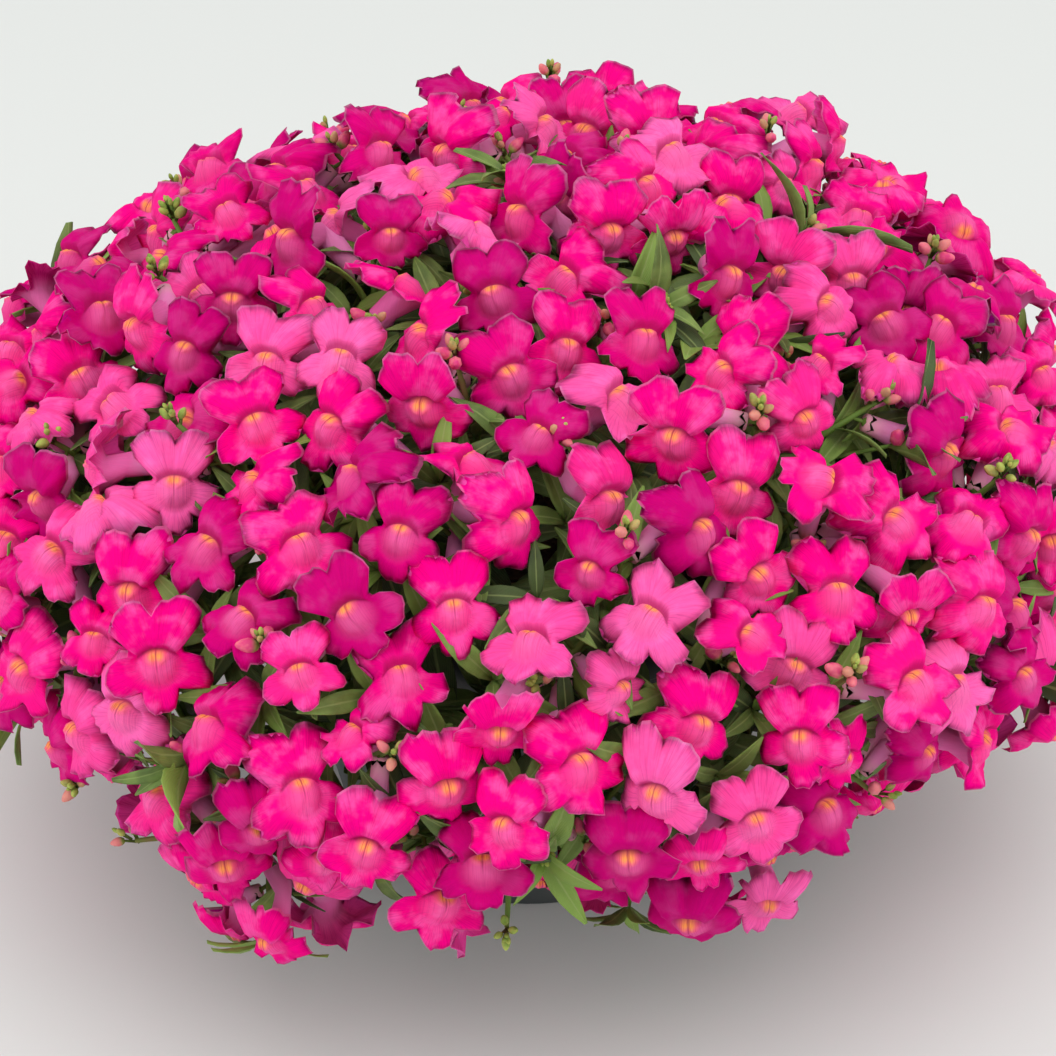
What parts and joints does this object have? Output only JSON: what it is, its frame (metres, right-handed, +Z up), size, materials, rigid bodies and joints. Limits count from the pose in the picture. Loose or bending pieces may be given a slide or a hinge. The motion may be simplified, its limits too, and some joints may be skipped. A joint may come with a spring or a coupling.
{
  "type": "potted snapdragon plant",
  "caption": "Broad, low mound of two-lipped pink snapdragon blooms on leafy branching stems that arch over the rim of a round tapered pot filled with soil.",
  "frame": {"origin": "centre of the pot's flat underside, which stands on the surface at z = 0", "axes": "+Z up along the pot's axis, -Y towards the viewer at the plant's front, +X to the viewer's right"},
  "size_m": [0.4552, 0.4564, 0.2859],
  "materials": {
    "petals": "matte",
    "leaves": "satin",
    "pot_plastic": "satin",
    "potting_soil": "matte"
  },
  "bodies": {
    "root": {"flower_spray_01": "petals", "flower_spray_02": "petals", "flower_spray_03": "petals", "flower_spray_04": "petals", "flower_spray_05": "petals", "flower_spray_06": "petals", "flower_spray_07": "petals", "flower_spray_08": "petals", "flower_spray_09": "petals", "flower_spray_10": "petals", "flower_spray_11": "petals", "flower_spray_12": "petals", "flower_spray_13": "petals", "flower_spray_14": "petals", "flower_spray_15": "petals", "flower_spray_16": "petals", "flower_spray_17": "petals", "flower_spray_18": "petals", "flower_spray_19": "petals", "flower_spray_20": "petals", "flower_spray_21": "petals", "flower_spray_22": "petals", "flower_spray_23": "petals", "flower_spray_24": "petals", "flower_spray_25": "petals", "flower_spray_26": "petals", "flower_spray_27": "petals", "flower_spray_28": "petals", "flower_spray_29": "petals", "flower_spray_30": "petals", "flower_spray_31": "petals", "flower_spray_32": "petals", "flower_spray_33": "petals", "flower_spray_34": "petals", "flower_spray_35": "petals", "flower_spray_36": "petals", "leafy_stem_01": "leaves", "leafy_stem_02": "leaves", "leafy_stem_03": "leaves", "leafy_stem_04": "leaves", "leafy_stem_05": "leaves", "leafy_stem_06": "leaves", "leafy_stem_07": "leaves", "leafy_stem_08": "leaves", "pot": "pot_plastic", "soil": "potting_soil"}
  },
  "joints": []
}
